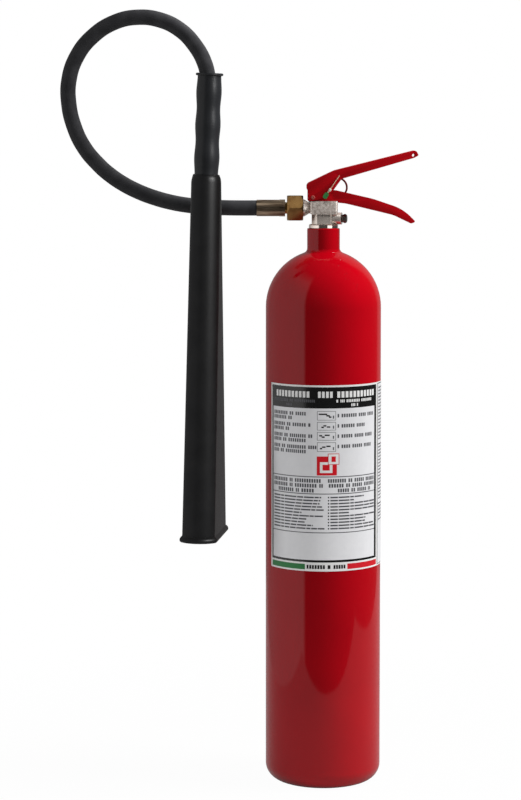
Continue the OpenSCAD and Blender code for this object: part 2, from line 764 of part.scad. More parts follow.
module handle_rivet() {
    color("firebrick") cross_rod(rivet_d / 2, 2 * handle_out, [rivet_x, rivet_z]);
}

lever_bottom = apart - pivot_rise;
tag_hole = [lever_reach - 6.2, lever_rise];
wire_hole = [heel_x - 2.9, heel_z + 3.8];
wire_hook_r = 0.4 * seal_wire_d;
module lever_outline() {
    polygon(rounded([
        [-6.2, lever_bottom, 1], [-6.2, 8, 1.5], [nose_x, 10.8, 1], [nose_x, nose_z, 5], [knee_x, knee_z, 30],
        [lever_reach - 3.6, lever_rise + 0.67 * lever_tip_h, 4], [lever_reach, lever_rise, 1.5],
        [lever_reach - 5.6, lever_rise - 0.33 * lever_tip_h, 3], [heel_x, heel_z, 4],
        [pin_x - 0.6, 0.5, 1.5], [0, lever_bottom, 2]
    ]));
}
// The slot in the rear cheek lets the safety pin stay in while the lever turns.
function polar(r, a) = r * [cos(a), sin(a)];
module pin_slot() {
    steps = 12;
    reach = norm([pin_x, pin_z]);
    from = atan2(pin_z, pin_x);
    to = from + lever_travel;
    half = pin_d / 2 + apart;
    across(sheet_t + 2 * over, lever_out - sheet_t / 2) polygon(concat(
        [for (i = [0 : steps]) polar(reach + half, from + lever_travel * i / steps)],
        [for (i = [1 : steps - 1]) polar(reach, to) + polar(half, to + 180 * i / steps)],
        [for (i = [0 : steps]) polar(reach - half, to - lever_travel * i / steps)],
        [for (i = [1 : steps - 1]) polar(reach, from) + polar(half, from + 180 + 180 * i / steps)]
    ));
}
module operating_lever() {
    color("firebrick") at_pivot() difference() {
        across(2 * lever_out) lever_outline();
        across(2 * lever_in) union() {
            translate(web_set) lever_outline();
            translate([-30, -30]) square([60, 40]);
        }
        cross_rod(pivot_d / 2 + running_fit, 3 * lever_out, [0, 0]);
        cross_rod(tag_hole_d / 2, 3 * lever_out, tag_hole);
        cross_rod(wire_hook_r + fit, 2 * lever_out, wire_hole, -lever_out);
        pin_slot();
    }
}
module pivot_pin() {
    head_r = pivot_d * 0.65;
    color("silver") at_pivot() {
        cross_rod(pivot_d / 2, 2 * (lever_out + apart), [0, 0]);
        for (s = [-1, 1]) translate([0, s * (lever_out + apart), 0]) rotate([-90 * s, 0, 0])
            cylinder(r1 = head_r, r2 = head_r - pivot_head_t / 2, h = pivot_head_t);
    }
}

module safety_pin() {
    ring_y = lever_out + apart + pivot_head_t + ring_wire;
    color("darkred") translate([pin_x - pivot_back, 0, pivot_z + pin_z]) {
        cross_rod(pin_d / 2, ring_y + handle_out, [0, 0], (ring_y - handle_out) / 2);
        translate([ring_r * cos(ring_lean), ring_y, ring_r * sin(ring_lean)]) rotate([90, 0, 0])
            o_ring(ring_r, ring_wire);
    }
}

// The wire's upper end is hooked through the lever's front cheek, its twisted foot carries the seal.
twist_l = 3.6;
twist_r = seal_wire_d * 0.85;
wire_y = -lever_out - fit - twist_r;
wire_hook_l = sheet_t + twist_r;
wire_foot = [pin_x + 0.4, pin_z + 1.4];
wire_run = norm(wire_hole - wire_foot);
wire_lean = atan2(wire_hole.x - wire_foot.x, wire_hole.y - wire_foot.y);
// Local origin at the wire's foot, with +Z up along the wire.
module at_wire_foot() {
    translate([wire_foot.x - pivot_back, wire_y, pivot_z + wire_foot.y]) rotate([0, wire_lean, 0]) children();
}
module seal_wire() {
    color("bisque") {
        at_pivot() cross_rod(wire_hook_r, wire_hook_l, wire_hole, wire_y + wire_hook_l / 2);
        at_wire_foot() {
            cylinder(d = seal_wire_d, h = wire_run + seal_wire_d / 2);
            translate([0, 0, -twist_l]) cylinder(r = twist_r, h = twist_l + twist_r);
        }
    }
}
module tamper_seal() {
    color("seagreen") at_wire_foot() translate([0, twist_r - seal_t / 2, -twist_l - fit - seal_l])
        across(seal_t) translate([0, seal_l / 2]) rounded_rect(seal_w, seal_l, 0.4 * seal_w);
}

cylinder_shell();  // cylinder
neck_seal();
valve_body();
dip_tube();
dip_tube_retainer();
poppet_spring();
poppet();
poppet_seal();
stem();
stem_o_ring();
stem_gland();
burst_disc();
burst_disc_washer();
burst_disc_plug();
union_nut();
hose_tail();
valve_ferrule();
hose();
horn_ferrule();
discharge_nozzle();
grip_sleeve();
horn();
carry_handle();
handle_rivet();
operating_lever();
pivot_pin();
safety_pin();
seal_wire();
tamper_seal();
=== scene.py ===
"""Looks of a carbon dioxide fire extinguisher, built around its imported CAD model."""

import logging
import math
from collections.abc import Iterator, Sequence
from contextlib import contextmanager
from dataclasses import dataclass
from enum import Enum

import bmesh
import bpy
from mathutils import Matrix, Vector


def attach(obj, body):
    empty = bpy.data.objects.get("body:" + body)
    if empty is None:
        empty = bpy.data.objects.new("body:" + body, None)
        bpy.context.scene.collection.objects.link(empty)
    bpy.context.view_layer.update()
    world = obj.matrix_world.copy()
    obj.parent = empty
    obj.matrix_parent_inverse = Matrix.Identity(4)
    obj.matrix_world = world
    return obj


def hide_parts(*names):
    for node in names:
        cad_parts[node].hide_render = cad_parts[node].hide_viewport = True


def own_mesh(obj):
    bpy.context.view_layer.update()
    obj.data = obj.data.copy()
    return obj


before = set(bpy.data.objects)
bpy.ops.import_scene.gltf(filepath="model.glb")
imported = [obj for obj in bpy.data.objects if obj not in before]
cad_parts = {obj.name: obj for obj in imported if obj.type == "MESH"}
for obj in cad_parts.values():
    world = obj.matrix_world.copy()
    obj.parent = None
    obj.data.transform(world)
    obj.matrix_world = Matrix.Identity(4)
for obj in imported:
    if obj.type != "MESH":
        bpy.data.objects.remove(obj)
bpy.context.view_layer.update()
MM = 0.001
# Points nearer than this are one point, and faces flatter than this, in degrees, are one face.
MERGE = 0.002 * MM
FLAT = 0.5
# Where noise turns from one tone, or one gloss, to the other.
DRIFT_BAND = (0.35, 0.68)
GRAIN_BAND = (0.3, 0.7)
# Rows of pixels in the photograph.
IMAGE_HEIGHT = 800
LOG = logging.getLogger("extinguisher")

Point = tuple[float, float, float]
Pair = tuple[float, float]
Links = dict[str | int, bpy.types.NodeSocket]
Values = dict[str | int, object]


def linear(colour: str) -> tuple[float, float, float, float]:
    """Turn an sRGB hex colour to linear light.

    Args:
        colour: The colour as "#rrggbb".

    Returns:
        Red, green, blue and an alpha of one.
    """
    parts = [int(colour[i : i + 2], 16) / 255 for i in (1, 3, 5)]
    red, green, blue = (
        p / 12.92 if p <= 0.04045 else ((p + 0.055) / 1.055) ** 2.4 for p in parts
    )
    return red, green, blue, 1.0


def put(
    tree: bpy.types.NodeTree,
    kind: str,
    values: Values | None = None,
    links: Links | None = None,
    **settings: object,
) -> bpy.types.Node:
    """Add one node with its settings, socket values and links.

    Args:
        tree: The node tree that takes the node.
        kind: The node's type name.
        values: Constants for input sockets, by name or number.
        links: Output sockets that feed input sockets, by name or number.
        settings: The node's own properties.

    Returns:
        The new node.
    """
    node = tree.nodes.new(kind)
    for name, setting in settings.items():
        setattr(node, name, setting)
    for name, value in (values or {}).items():
        node.inputs[name].default_value = value
    for name, source in (links or {}).items():
        tree.links.new(source, node.inputs[name])
    return node


@dataclass(frozen=True)
class Finish:
    """A material as its surface was made: two tones that drift, a gloss and a fine relief."""

    name: str
    colour: str
    second: str
    drift_mm: float = 40
    drift_share: float = 0.3
    metallic: float = 0.0
    roughness: float = 0.5
    roughness_spread: float = 0.08
    ior: float = 1.5
    specular: float = 0.5
    coat: float = 0.0
    coat_roughness: float = 0.03
    grain_mm: float = 1.0
    relief_mm: float = 0.02
    stretch: Point = (1.0, 1.0, 1.0)

    def material(self) -> bpy.types.Material:
        """Return the finish's material, which is made on first use."""
        found = bpy.data.materials.get(self.name)
        if found:
            return found
        made = bpy.data.materials.new(self.name)
        made.use_nodes = True
        tree = made.node_tree
        shader = tree.nodes["Principled BSDF"]
        shader.inputs["Metallic"].default_value = self.metallic
        shader.inputs["IOR"].default_value = self.ior
        shader.inputs["Specular IOR Level"].default_value = self.specular
        shader.inputs["Coat Weight"].default_value = self.coat
        shader.inputs["Coat Roughness"].default_value = self.coat_roughness
        self.draw(tree, shader)
        return made

    def draw(self, tree: bpy.types.NodeTree, shader: bpy.types.Node) -> None:
        """Draw the drifting tones, gloss and relief into a material.

        Args:
            tree: The material's node tree.
            shader: Its surface shader.
        """
        place = put(tree, "ShaderNodeTexCoord").outputs["Object"]
        turned = put(tree, "ShaderNodeMapping", {"Scale": self.stretch}, {"Vector": place})
        along = turned.outputs["Vector"]
        drift = {"Scale": 1 / (self.drift_mm * MM), "Detail": 3}
        patches = put(tree, "ShaderNodeTexNoise", drift, {"Vector": along})
        low, high = DRIFT_BAND
        share = put(
            tree,
            "ShaderNodeMapRange",
            {"From Min": low, "From Max": high, "To Min": 0.0, "To Max": self.drift_share},
            {"Value": patches.outputs[0]},
        )
        tone = put(
            tree,
            "ShaderNodeMix",
            {6: linear(self.colour), 7: linear(self.second)},
            {0: share.outputs[0]},
            data_type="RGBA",
        )
        pebble = {"Scale": 1 / (self.grain_mm * MM), "Detail": 2}
        grain = put(tree, "ShaderNodeTexNoise", pebble, {"Vector": along})
        low, high = GRAIN_BAND
        gloss = put(
            tree,
            "ShaderNodeMapRange",
            {
                "From Min": low,
                "From Max": high,
                "To Min": self.roughness - self.roughness_spread,
                "To Max": self.roughness + self.roughness_spread,
            },
            {"Value": grain.outputs[0]},
        )
        relief = put(
            tree,
            "ShaderNodeBump",
            {"Strength": 1.0, "Distance": self.relief_mm * MM},
            {"Height": grain.outputs[0]},
        )
        tree.links.new(tone.outputs[2], shader.inputs["Base Color"])
        tree.links.new(gloss.outputs[0], shader.inputs["Roughness"])
        tree.links.new(relief.outputs[0], shader.inputs["Normal"])


# Stove enamel sprayed on steel: deep red under a clear, wet-looking gloss with a faint orange peel.
RED_ENAMEL = Finish(
    "sprayed_red_enamel", "#A2010F", "#96010E", drift_mm=60, drift_share=0.5, roughness=0.45,
    specular=0.04, coat=0.52, coat_roughness=0.05, grain_mm=3.0, relief_mm=0.004,
)
# Powder coat on pressed steel: the same red, satin, with a fine even pebble.
LEVER_ENAMEL = Finish(
    "powder_coated_red_steel", "#B20612", "#9E0610", drift_mm=25, drift_share=0.5, roughness=0.4,
    specular=0.15, grain_mm=1.2, relief_mm=0.006,
)
# Nickel plate over a brass forging: bright, a little dull and uneven from the forging's skin.
NICKEL = Finish(
    "nickel_plated_brass_forging", "#F0E5DC", "#B4A89E", drift_mm=3, drift_share=1.0, metallic=0.62,
    roughness=0.3, roughness_spread=0.08, grain_mm=2.2, relief_mm=0.12,
)
# Nickel plate over milled brass: flat and soft, so each side takes one even tone from the room.
MILLED_NICKEL = Finish(
    "nickel_plated_milled_brass", "#ECE0D6", "#C0B4AA", drift_mm=5, drift_share=0.5, metallic=0.78,
    roughness=0.26, roughness_spread=0.05, grain_mm=1.5, relief_mm=0.03,
)
# Nickel plate over turned brass: smooth and bright, so it mirrors the room in bands.
TURNED_NICKEL = Finish(
    "nickel_plated_turned_brass", "#F0E2D8", "#D8CABE", drift_mm=5, drift_share=0.5, metallic=0.98,
    roughness=0.09, roughness_spread=0.03, grain_mm=1.5, relief_mm=0.012,
)
# Brass bar machined and left bare: dulled to a brown bronze in patches.
BRASS = Finish(
    "aged_turned_brass", "#9E7A4A", "#7A5632", drift_mm=9, drift_share=0.8, metallic=1.0,
    roughness=0.34, roughness_spread=0.08, grain_mm=1.0, relief_mm=0.02,
)
# Brass tube crimped on the hose: yellow bronze with darker streaks along its length.
FERRULE = Finish(
    "crimped_bronze_tube", "#BBA68C", "#6A5644", drift_mm=2.4, drift_share=1.0, metallic=1.0,
    roughness=0.42, grain_mm=0.8, relief_mm=0.03, stretch=(0.08, 1.0, 1.0),
)
# Brass inside the fittings: cleaner and yellower than what the hand touches.
FITTING = Finish(
    "clean_machined_brass", "#B98F4A", "#8D6630", drift_mm=8, drift_share=0.5, metallic=1.0,
    roughness=0.3,
)
# Ground stainless steel: cool grey with fine streaks.
STEEL = Finish(
    "ground_stainless_steel", "#B9B9B6", "#8F8F8D", drift_mm=5, drift_share=0.4, metallic=1.0,
    roughness=0.28, grain_mm=0.6, relief_mm=0.01, stretch=(1.0, 1.0, 0.2),
)
# Steel blackened in oil: nearly black with a soft metallic sheen on its edges.
DARK_STEEL = Finish(
    "oil_blackened_steel", "#6E635E", "#3A3532", drift_mm=4, drift_share=0.6, metallic=1.0,
    roughness=0.4,
)
# Drawn aluminium tube: pale grey with streaks along the draw.
ALUMINIUM = Finish(
    "drawn_aluminium_tube", "#C4C6C8", "#A4A6A8", drift_mm=10, drift_share=0.5, metallic=1.0,
    roughness=0.35, stretch=(1.0, 1.0, 0.1),
)
# Extruded rubber hose: matte black with a fine cloth-like skin.
HOSE_RUBBER = Finish(
    "extruded_rubber_hose", "#3A3A3C", "#28282A", drift_mm=14, drift_share=0.7, roughness=0.62,
    specular=0.2, grain_mm=1.1, relief_mm=0.10,
)
# Moulded rubber sleeve: black with a smooth half-gloss that catches a soft streak of light.
GRIP_RUBBER = Finish(
    "moulded_rubber_sleeve", "#202123", "#17181A", drift_mm=18, drift_share=0.6, roughness=0.4,
    specular=0.24, grain_mm=0.9, relief_mm=0.03,
)
# Blow-moulded polyethylene: black, satin, with the fine pebble of a blasted mould.
HORN_PLASTIC = Finish(
    "moulded_polyethylene", "#2E2E2F", "#222223", drift_mm=30, drift_share=0.6, roughness=0.4,
    specular=0.08, grain_mm=0.9, relief_mm=0.03,
)
# Moulded seal rubber: plain matte black.
SEAL_RUBBER = Finish("moulded_seal_rubber", "#1C1C1C", "#121212", drift_mm=4, roughness=0.6)
# Steel rivet painted with the levers: the same red, paler in random spots.
RIVET_ENAMEL = Finish(
    "painted_steel_rivet", "#982422", "#C88078", drift_mm=1.6, drift_share=0.6, metallic=0.1,
    roughness=0.4,
)
# Turned acetal: off-white and waxy.
SEAL_PLASTIC = Finish("turned_white_acetal", "#E3DFD3", "#D4CFC0", drift_mm=5, roughness=0.4)
# Enamelled pin wire: a dark red that hides in the shade of the levers.
PIN_ENAMEL = Finish(
    "dipped_red_enamel", "#8E2A34", "#6E1C24", drift_mm=5, drift_share=0.6, roughness=0.35,
    grain_mm=0.8,
)
# Copper-washed seal wire: thin, pinkish and bright along its top.
SEAL_WIRE = Finish(
    "copper_washed_wire", "#F0D2B4", "#DDB08C", drift_mm=3, drift_share=0.6, metallic=0.3,
    roughness=0.35,
)
# Moulded green plastic: a small translucent-looking tag.
SEAL_GREEN = Finish(
    "moulded_green_plastic", "#3E8A4C", "#256B37", drift_mm=2, drift_share=0.8, roughness=0.3,
)
# White vinyl film: smooth, with a faint mottle.
FILM = Finish("white_vinyl_film", "#E6E6E5", "#DEDEDD", drift_mm=12, roughness=0.4, relief_mm=0.002)
# Silver-grey screen ink: flat, with a very fine grain.
SILVER_INK = Finish(
    "silver_screen_ink", "#E0E0E2", "#D6D6D9", drift_mm=6, roughness=0.42, relief_mm=0.002,
)
# Black screen ink: dense and half matte.
BLACK_INK = Finish("black_screen_ink", "#161616", "#1E1E1E", drift_mm=6, roughness=0.2, relief_mm=0.002)
# Grey screen ink: the softer black of fine lines.
GREY_INK = Finish("grey_screen_ink", "#4A4A4E", "#5A5A5E", drift_mm=4, roughness=0.45, relief_mm=0.002)
# Red screen ink: brighter than the enamel beside it.
RED_INK = Finish("red_screen_ink", "#CF1020", "#C20E1C", drift_mm=6, roughness=0.42, relief_mm=0.002)
# Green screen ink: a flat leaf green.
GREEN_INK = Finish("green_screen_ink", "#1A6C34", "#17622F", drift_mm=6, roughness=0.42, relief_mm=0.002)


class Ink(Enum):
    """What a patch of the label is printed with, in the order of the label's materials."""

    FILM = FILM
    SILVER = SILVER_INK
    BLACK = BLACK_INK
    GREY = GREY_INK
    RED = RED_INK
    GREEN = GREEN_INK


def alone(piece: bpy.types.Object) -> None:
    """Select one piece and nothing else, and make it active."""
    bpy.ops.object.select_all(action="DESELECT")
    piece.select_set(True)
    bpy.context.view_layer.objects.active = piece


@contextmanager
def editing(piece: bpy.types.Object) -> Iterator[bmesh.types.BMesh]:
    """Hold a piece in edit mode.

    Args:
        piece: The mesh object.

    Returns:
        The mesh that the edit-mode operators act on.
    """
    alone(piece)
    bpy.ops.object.mode_set(mode="EDIT")
    yield bmesh.from_edit_mesh(piece.data)
    bpy.ops.object.mode_set(mode="OBJECT")


def apply_modifier(piece: bpy.types.Object, kind: str, **settings: object) -> None:
    """Give a piece a modifier and apply it.

    Args:
        piece: The mesh object.
        kind: The modifier's type.
        settings: The modifier's properties.
    """
    modifier = piece.modifiers.new(kind.lower(), kind)
    for name, setting in settings.items():
        setattr(modifier, name, setting)
    alone(piece)
    bpy.ops.object.modifier_apply(modifier=modifier.name)


def shade(piece: bpy.types.Object, angle: float = 32) -> None:
    """Shade a piece smooth, but for edges sharper than an angle in degrees."""
    alone(piece)
    bpy.ops.object.shade_smooth_by_angle(angle=math.radians(angle))


def dress(piece: bpy.types.Object, finish: Finish) -> None:
    """Give a piece one finish all over."""
    piece.data.materials.clear()
    piece.data.materials.append(finish.material())


def rounded_copy(node: str, body: str, width_mm: float, angle: float = 35) -> bpy.types.Object:
    """Copy a CAD node and break its sharp edges with a small round.

    Args:
        node: The CAD node, which the copy replaces.
        body: The body that the copy rides on.
        width_mm: The round's width.
        angle: Edges sharper than this, in degrees, are rounded.

    Returns:
        The new piece.
    """
    piece = bpy.data.objects.new(f"{node}_rounded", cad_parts[node].data.copy())
    bpy.context.scene.collection.objects.link(piece)
    with editing(piece):
        bpy.ops.mesh.select_all(action="SELECT")
        bpy.ops.mesh.customdata_custom_splitnormals_clear()
        bpy.ops.mesh.remove_doubles(threshold=MERGE)
        bpy.ops.mesh.dissolve_limited(angle_limit=math.radians(FLAT))
    apply_modifier(
        piece, "BEVEL", width=width_mm * MM, segments=3, limit_method="ANGLE",
        angle_limit=math.radians(angle), use_clamp_overlap=True,
    )
    shade(piece)
    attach(piece, body)
    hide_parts(node)
    return piece


def loft(name: str, rings: Sequence[Sequence[Vector]]) -> bpy.types.Object:
    """Draw a skin through rings of points by extruding one ring after another.

    Args:
        name: The new piece's name.
        rings: Closed rings with the same number of points. If the last ring
            is the first one again, the skin closes on itself.

    Returns:
        The new piece.
    """
    bpy.ops.object.select_all(action="DESELECT")
    bpy.ops.mesh.primitive_circle_add(vertices=len(rings[0]), radius=MM)
    piece = bpy.context.active_object
    piece.name = piece.data.name = name
    with editing(piece) as mesh:
        spot = mesh.verts.layers.int.new("spot")
        for number, vertex in enumerate(mesh.verts):
            vertex[spot] = number
            vertex.co = rings[0][number]
        bpy.ops.mesh.select_all(action="SELECT")
        for ring in rings[1:]:
            bpy.ops.mesh.extrude_edges_move()
            mesh = bmesh.from_edit_mesh(piece.data)
            spot = mesh.verts.layers.int["spot"]
            for vertex in mesh.verts:
                if vertex.select:
                    vertex.co = ring[vertex[spot]]
        bmesh.update_edit_mesh(piece.data)
        bpy.ops.mesh.select_all(action="SELECT")
        bpy.ops.mesh.remove_doubles(threshold=MERGE)
        bpy.ops.mesh.normals_make_consistent(inside=False)
    piece.data.attributes.remove(piece.data.attributes["spot"])
    return piece


@dataclass(frozen=True)
class Mark:
    """A printed patch, with its sides and ends in mm as on the label."""

    left: float
    right: float
    low: float
    high: float
    ink: Ink
    layer: int = 3


@dataclass(frozen=True)
class Rows:
    """Even lines of words, in mm: the first line's foot, the step down and a line's height."""

    first: float
    pitch: float
    tall: float

    def foot(self, row: int) -> float:
        """Return the height of one line's foot."""
        return self.first - self.pitch * row


@dataclass
class Label:
    """A wrapped film label, printed with panels, boxes, rules and bars in place of words.

    What is printed is measured in mm: round the wall from the label's middle,
    and up from its foot.
    """

    radius: float = 70 * MM
    foot: float = 267.8 * MM
    film_t: float = 0.06 * MM
    lift: float = 0.1 * MM
    cell_mm: float = 3.0
    word_gap: float = 0.55
    bar_pitch: float = 0.68
    bar_share: float = 0.68
    finest_mm: float = 2.0
    outline_mm: float = 0.5
    stroke_mm: float = 1.7
    tick_mm: Pair = (2.0, 5.6)
    rule_mm: float = 1.0
    rules_mm: Point = (113.8, 93.3, 46.6)
    title_mm: Pair = (208.6, 216.0)
    kind_mm: Pair = (202.9, 206.3)
    size_mm: Pair = (197.8, 201.2)
    origin_mm: Pair = (3.0, 7.6)
    column_mm: float = -70.6
    step_rows: Rows = Rows(187.0, 13.3, 4.2)
    step_wrap_mm: float = 5.4
    action_rows: Rows = Rows(185.0, 12.3, 4.2)
    note_rows: Rows = Rows(106.8, 5.9, 4.4)
    fine_rows: Rows = Rows(88.2, 3.75, 1.7)
    side_mm: Pair = (85.4, 162)
    side_blocks: tuple[tuple[Rows, int], ...] = (
        (Rows(215.5, 3.9, 1.5), 17), (Rows(143.0, 3.9, 1.5), 17), (Rows(70.6, 3.9, 1.5), 5)
    )

    def words(
        self, left: float, right: float, low: float, high: float, ink: Ink, lengths: Sequence[float]
    ) -> list[Mark]:
        """Break a line into words, and each word into short upright bars.

        Args:
            left: Where the line starts, in mm.
            right: Where the line ends, in mm.
            low: The line's foot, in mm.
            high: The line's top, in mm.
            ink: The ink of the bars.
            lengths: Word lengths in mm, used again and again.

        Returns:
            The bars. A line too fine for upright bars gets one bar for each word.
        """
        bars: list[Mark] = []
        tall = high - low
        start, turn = left, 0
        while start < right - tall / 2:
            end = min(start + lengths[turn % len(lengths)], right)
            count = max(1, round((end - start) / (tall * self.bar_pitch)))
            pitch = (end - start) / count
            if tall < self.finest_mm:
                bars.append(Mark(start, end, low, high, ink))
            else:
                bars += [
                    Mark(start + pitch * i, start + pitch * (i + self.bar_share), low, high, ink)
                    for i in range(count)
                ]
            start, turn = end + self.word_gap * tall, turn + 1
        return bars

    def ground(self) -> list[Mark]:
        """Return the film, the frame, the panels and the coloured bars."""
        return [
            Mark(-78.6, 80.8, 0, 223.4, Ink.FILM, 0),
            Mark(-75.6, 77.9, 10.8, 221.2, Ink.BLACK, 1),
            Mark(-72.8, 72.8, 13.6, 195.8, Ink.SILVER, 2),
            Mark(-75.2, -23.6, 2.0, 8.6, Ink.GREEN, 1),
            Mark(28.3, 78.6, 2.0, 8.6, Ink.RED, 1),
            Mark(81.4, 166, 0, 223.4, Ink.FILM, 0),
            Mark(82.6, 164.8, 1.4, 222.0, Ink.BLACK, 1),
            Mark(83.6, 163.8, 2.4, 221.0, Ink.SILVER, 2),
            Mark(83.6, 163.8, 146.8, 148.2, Ink.BLACK, 3),
            Mark(83.6, 163.8, 74.4, 75.8, Ink.BLACK, 3),
        ]

    def signs(self) -> list[Mark]:
        """Return the red square, the outlined boxes with their strokes, and the rules."""
        marks = [
            Mark(-9.3, 14.7, 115.6, 138.4, Ink.RED),
            Mark(-5.6, 9.4, 118.6, 131.6, Ink.FILM, 4),
            Mark(-2.4, 6.0, 121.6, 128.4, Ink.RED, 5),
            Mark(3.9, 17.6, 128.4, 141.8, Ink.RED, 5),
            Mark(4.6, 16.9, 129.1, 141.1, Ink.FILM, 6),
            Mark(8.2, 13.3, 131.8, 138.4, Ink.RED, 7),
        ]
        line = self.outline_mm
        tick_low, tick_high = self.tick_mm
        for low, high, strokes in (
            (181.7, 192.6, ((-7, 3, 6.4), (2, 6, 4.6), (5, 8, 3.0))),
            (169.7, 179.6, ((-4, -1, 2.8), (-1.5, 2, 4.6), (2.5, 6.5, 3.2))),
            (157.6, 167.6, ((-6.5, -3, 4.8), (-3.5, 0, 3.2), (0, 6, 5.4))),
            (144.0, 155.2, ((-5.5, -3, 3.0), (-3, 1, 4.8), (2, 7, 5.8))),
        ):
            marks.append(Mark(-9.0, 13.4, low, high, Ink.GREY))
            marks.append(Mark(-9.0 + line, 13.4 - line, low + line, high - line, Ink.SILVER, 4))
            for left, right, up in strokes:
                marks.append(Mark(left, right, low + up, low + up + self.stroke_mm, Ink.BLACK, 5))
            marks.append(Mark(9.8, 11.2, low + tick_low, low + tick_high, Ink.GREY, 5))
        half = self.rule_mm / 2
        marks += [Mark(-72.8, 72.8, z - half, z + half, Ink.GREY) for z in self.rules_mm]
        return marks

    def headings(self) -> list[Mark]:
        """Return the bars that stand for the headings and for the line at the foot."""
        marks: list[Mark] = []
        for (low, high), ink, left, right, lengths in (
            (self.title_mm, Ink.FILM, -66, -16.8, (50,)),
            (self.title_mm, Ink.FILM, -8, 72.6, (19, 66)),
            (self.kind_mm, Ink.GREY, -70, -11, (24, 5, 30)),
            (self.kind_mm, Ink.FILM, 14, 66, (3, 6, 19, 20)),
            (self.size_mm, Ink.GREY, -49, -40, (9,)),
            (self.size_mm, Ink.FILM, 33, 43, (6, 3)),
            (self.origin_mm, Ink.BLACK, -21.5, 26.6, (23, 4.5, 17)),
        ):
            marks += self.words(left, right, low, high, ink, lengths)
        return marks

    def steps(self) -> list[Mark]:
        """Return the bars beside the boxes: pairs of lines on the left, single lines on the right."""
        marks: list[Mark] = []
        tall = self.step_rows.tall
        for row, right in enumerate((-22, -38, -16, -43, -14, -22, -9, -19)):
            low = self.step_rows.foot(row // 2) - self.step_wrap_mm * (row % 2)
            lengths = (24 - 2 * row, 6, 14 + 2 * row)
            marks += self.words(self.column_mm, right, low, low + tall, Ink.GREY, lengths)
        tall = self.action_rows.tall
        for row, right in enumerate((70, 56, 69, 66)):
            low = self.action_rows.foot(row)
            lengths = (2.6, 21 - 3 * row, 12 + row, 13)
            marks += self.words(15.5, right, low, low + tall, Ink.GREY, lengths)
        return marks

    def notes(self) -> list[Mark]:
        """Return the bars of the two columns of notes and of the fine print below them."""
        marks: list[Mark] = []
        tall = self.note_rows.tall
        for row, (left, right, start, end) in enumerate(
            ((self.column_mm, -1, 4, 72), (self.column_mm, -1, 5, 72), (-62, -12, 16, 64))
        ):
            low = self.note_rows.foot(row)
            marks += self.words(left, right, low, low + tall, Ink.GREY, (24, 5, 33 - 5 * row, 5))
            marks += self.words(start, end, low, low + tall, Ink.GREY, (23 - 4 * row, 6, 15, 20))
        tall = self.fine_rows.tall
        rights = (-4, -5, -6, -3, -1, -28, -2, -22, -24, -14, 0)
        ends = (52, 38, 72, 72, 72, 30, 72, 55, 54, 70, 72)
        for row, (right, end) in enumerate(zip(rights, ends)):
            low = self.fine_rows.foot(row)
            lengths = (12, 5, 17 - row, 8)
            marks += self.words(self.column_mm, right, low, low + tall, Ink.GREY, lengths)
            marks += self.words(4, 5.5, low, low + tall, Ink.BLACK, (1.5,))
            marks += self.words(7, end, low, low + tall, Ink.GREY, (9, 14, 5, 11 + row % 4))
        return marks

    def side_notes(self) -> list[Mark]:
        """Return the bars of the fine print on the panel round the side."""
        marks: list[Mark] = []
        left, right = self.side_mm
        for rows, count in self.side_blocks:
            for row in range(count):
                low = rows.foot(row)
                end, lengths = right - 7 * (row % 3), (9 + row % 4, 5, 13)
                marks += self.words(left, end, low, low + rows.tall, Ink.GREY, lengths)
        return marks

    def build(self) -> bpy.types.Object:
        """Print the patches flat, wrap them round the vessel and give them their thickness.

        Returns:
            The label.
        """
        inks = list(Ink)
        marks = self.ground() + self.signs() + self.headings() + self.steps()
        marks += self.notes() + self.side_notes()
        bpy.ops.object.select_all(action="DESELECT")
        bpy.ops.mesh.primitive_plane_add(size=MM)
        piece = bpy.context.active_object
        piece.name = piece.data.name = "label"
        for ink in inks:
            piece.data.materials.append(ink.value.material())
        with editing(piece) as mesh:
            bpy.ops.mesh.select_all(action="SELECT")
            bpy.ops.mesh.delete(type="VERT")
            for mark in marks:
                cells = max(1, math.ceil((mark.right - mark.left) / self.cell_mm))
                bpy.ops.mesh.select_all(action="DESELECT")
                bpy.ops.mesh.primitive_grid_add(x_subdivisions=cells, y_subdivisions=1, size=2)
                mesh = bmesh.from_edit_mesh(piece.data)
                for face in mesh.faces:
                    if face.select:
                        face.material_index = inks.index(mark.ink)
                for vertex in mesh.verts:
                    if vertex.select:
                        vertex.co = self.wrapped(mark, vertex.co.x, vertex.co.y)
            bpy.ops.mesh.select_all(action="SELECT")
            bmesh.update_edit_mesh(piece.data)
        apply_modifier(piece, "SOLIDIFY", thickness=self.film_t, offset=1.0)
        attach(piece, "body")
        return piece

    def wrapped(self, mark: Mark, across: float, up: float) -> Vector:
        """Find a point of a patch on the vessel's wall.

        Args:
            mark: The patch.
            across: From -1 at the patch's left side to 1 at its right.
            up: From -1 at the patch's foot to 1 at its top.

        Returns:
            The point in the frame.
        """
        middle, half = (mark.left + mark.right) / 2, (mark.right - mark.left) / 2
        turn = (middle + half * across) * MM / self.radius
        r = self.radius + self.lift + mark.layer * self.film_t
        z = self.foot + ((mark.low + mark.high) / 2 + (mark.high - mark.low) / 2 * up) * MM
        return Vector((r * math.sin(turn), -r * math.cos(turn), z))


@dataclass
class Vessel:
    """The pressure cylinder with its label."""

    label: Label
    edge_mm: float = 0.9

    def build(self) -> list[bpy.types.Object]:
        """Round the neck's lip and the base ring, dress the cylinder and wrap its label on."""
        shell = rounded_copy("cylinder", "body", self.edge_mm)
        # Level normals on the wall, so that the room stands straight in the enamel.
        apply_modifier(shell, "WEIGHTED_NORMAL", weight=100, keep_sharp=True)
        dress(shell, RED_ENAMEL)
        dress(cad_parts["neck_seal"], SEAL_RUBBER)
        return [shell, self.label.build()]


